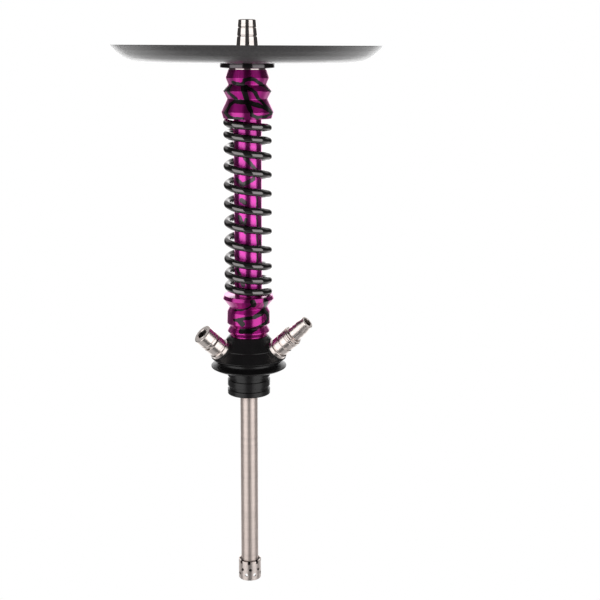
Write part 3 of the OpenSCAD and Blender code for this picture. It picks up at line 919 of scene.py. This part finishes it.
def build_world():
    """What the gloss mirrors: upright bands beside the camera, a table, cloth, ceiling and backdrop."""
    world = bpy.data.worlds.new("studio")
    world.use_nodes = True
    bpy.context.scene.world = world
    sky = Nodes(world.node_tree)
    direction = sky.add("ShaderNodeTexCoord").outputs["Generated"]
    x, y, z = sky.add("ShaderNodeSeparateXYZ", Vector=direction).outputs

    def step(value, low, high, top=1.0):
        return sky.ramp(value, low, high, 0.0, top, smooth=True)

    def times(a, b):
        return sky.math("MULTIPLY", a, b)

    def brightest(a, b):
        return sky.math("MAXIMUM", a, b)

    right_glow, left_glow, cloth_glow, floor_glow, beside_glow = 0.2, 0.27, 0.28, 0.55, 0.4
    table_glow, ceiling_glow, backdrop_glow, least_glow = 1.2, 0.7, 2.0, 0.06
    down = times(z, -1.0)
    turn = sky.math("ARCTAN2", x, times(y, -1.0))
    right = times(step(turn, 0.38, 0.46), step(turn, 1.36, 1.28, right_glow))
    left = times(step(turn, -0.28, -0.36), step(turn, -1.34, -1.26, left_glow))
    bands = times(sky.math("ADD", left, right), step(down, 0.45, 0.6))
    cloth = times(step(down, 0.2, 0.42), step(down, 0.62, 0.5, cloth_glow))
    floor = brightest(cloth, step(down, 0.8, 0.95, floor_glow))
    to_side = step(sky.math("ABSOLUTE", turn), 1.25, 1.5)
    beside = times(to_side, step(sky.math("ABSOLUTE", x), 0.3, 0.6, beside_glow))
    table = times(step(down, 0.25, 0.5, table_glow), brightest(step(y, 0.15, 0.55), beside))
    ceiling = times(step(z, 0.1, 0.5, ceiling_glow), step(y, 0.2, 0.5))
    backdrop = brightest(step(y, 0.75, 0.95, backdrop_glow), brightest(ceiling, floor))
    glow = brightest(brightest(bands, table), brightest(backdrop, least_glow))

    # The camera itself sees plain white
    seen = sky.add("ShaderNodeLightPath").outputs["Is Camera Ray"]
    strength = sky.math("ADD", times(glow, sky.math("SUBTRACT", 1.0, seen)), seen)
    background = sky.tree.nodes["Background"]
    sky.feed(background.inputs["Strength"], strength)
    sky.feed(background.inputs["Color"], (1, 1, 1, 1))


def build_floor():
    """A floor that is plain white to the camera, and lets the glow of the world through."""
    reach, below = 4.0, 8.5
    bm = bmesh.new()
    bmesh.ops.create_grid(bm, x_segments=1, y_segments=1, size=reach)
    bmesh.ops.translate(bm, vec=(0, 0, (DIFFUSER_LOW - below) * MM), verts=bm.verts)
    floor = finish_mesh("pale_floor", bm)
    paint = bpy.data.materials.new("pale_floor")
    paint.use_nodes = True
    paint.node_tree.nodes.clear()
    n = Nodes(paint.node_tree)
    either = n.add("ShaderNodeMixShader")
    n.feed(either.inputs[0], n.add("ShaderNodeLightPath").outputs["Is Camera Ray"])
    n.feed(either.inputs[1], n.add("ShaderNodeBsdfTransparent").outputs[0])
    n.feed(either.inputs[2], n.add("ShaderNodeEmission").outputs[0])
    n.add("ShaderNodeOutputMaterial", Surface=either.outputs[0])
    floor.data.materials.append(paint)


def build_softboxes():
    """Two tall panels beside the camera, each stretching between two angles from the front."""
    low, high, distance, radiance = -0.7, 0.66, 1.05, 1.55
    for name, from_turn, to_turn in (("softbox_left", -74, -18), ("softbox_right", 24, 76)):
        light = bpy.data.lights.new(name, "AREA")
        light.shape = "RECTANGLE"
        light.size = 2 * distance * math.tan(math.radians((to_turn - from_turn) / 2))
        light.size_y = high - low
        light.energy = radiance * math.pi * light.size * light.size_y
        angle = math.radians((from_turn + to_turn) / 2)
        way = Vector((math.sin(angle), -math.cos(angle), 0))
        lamp = bpy.data.objects.new(name, light)
        bpy.context.scene.collection.objects.link(lamp)
        lamp.location = way * distance + Vector((0, 0, (low + high) / 2))
        lamp.rotation_euler = (-way).to_track_quat("-Z", "Y").to_euler()


def build_camera():
    """A camera a little above the stem, that looks down on it."""
    spot, tilt, roll, lens = (0.0467, -1.0231, 0.2889), 12.45, 0.26, 69.3
    data = bpy.data.cameras.new("camera")
    data.sensor_width = 36
    data.lens = lens
    data.clip_end = 50
    camera = bpy.data.objects.new("camera", data)
    bpy.context.scene.collection.objects.link(camera)
    camera.location = spot
    camera.rotation_euler = (turned(90 - tilt, "X") @ turned(roll)).to_euler()
    bpy.context.scene.camera = camera


def build_studio():
    """A white studio round the object, with the camera of the photo."""
    bpy.context.scene.view_settings.view_transform = "Standard"
    bpy.context.scene.view_settings.look = "None"
    build_world()
    build_floor()
    build_softboxes()
    build_camera()


build_cone()
build_tray()
build_seat()
build_collars()
build_spring()
build_core()
build_hub()
build_valve()
build_hose_port()
build_diffuser()
paint_packed_pieces()
build_studio()
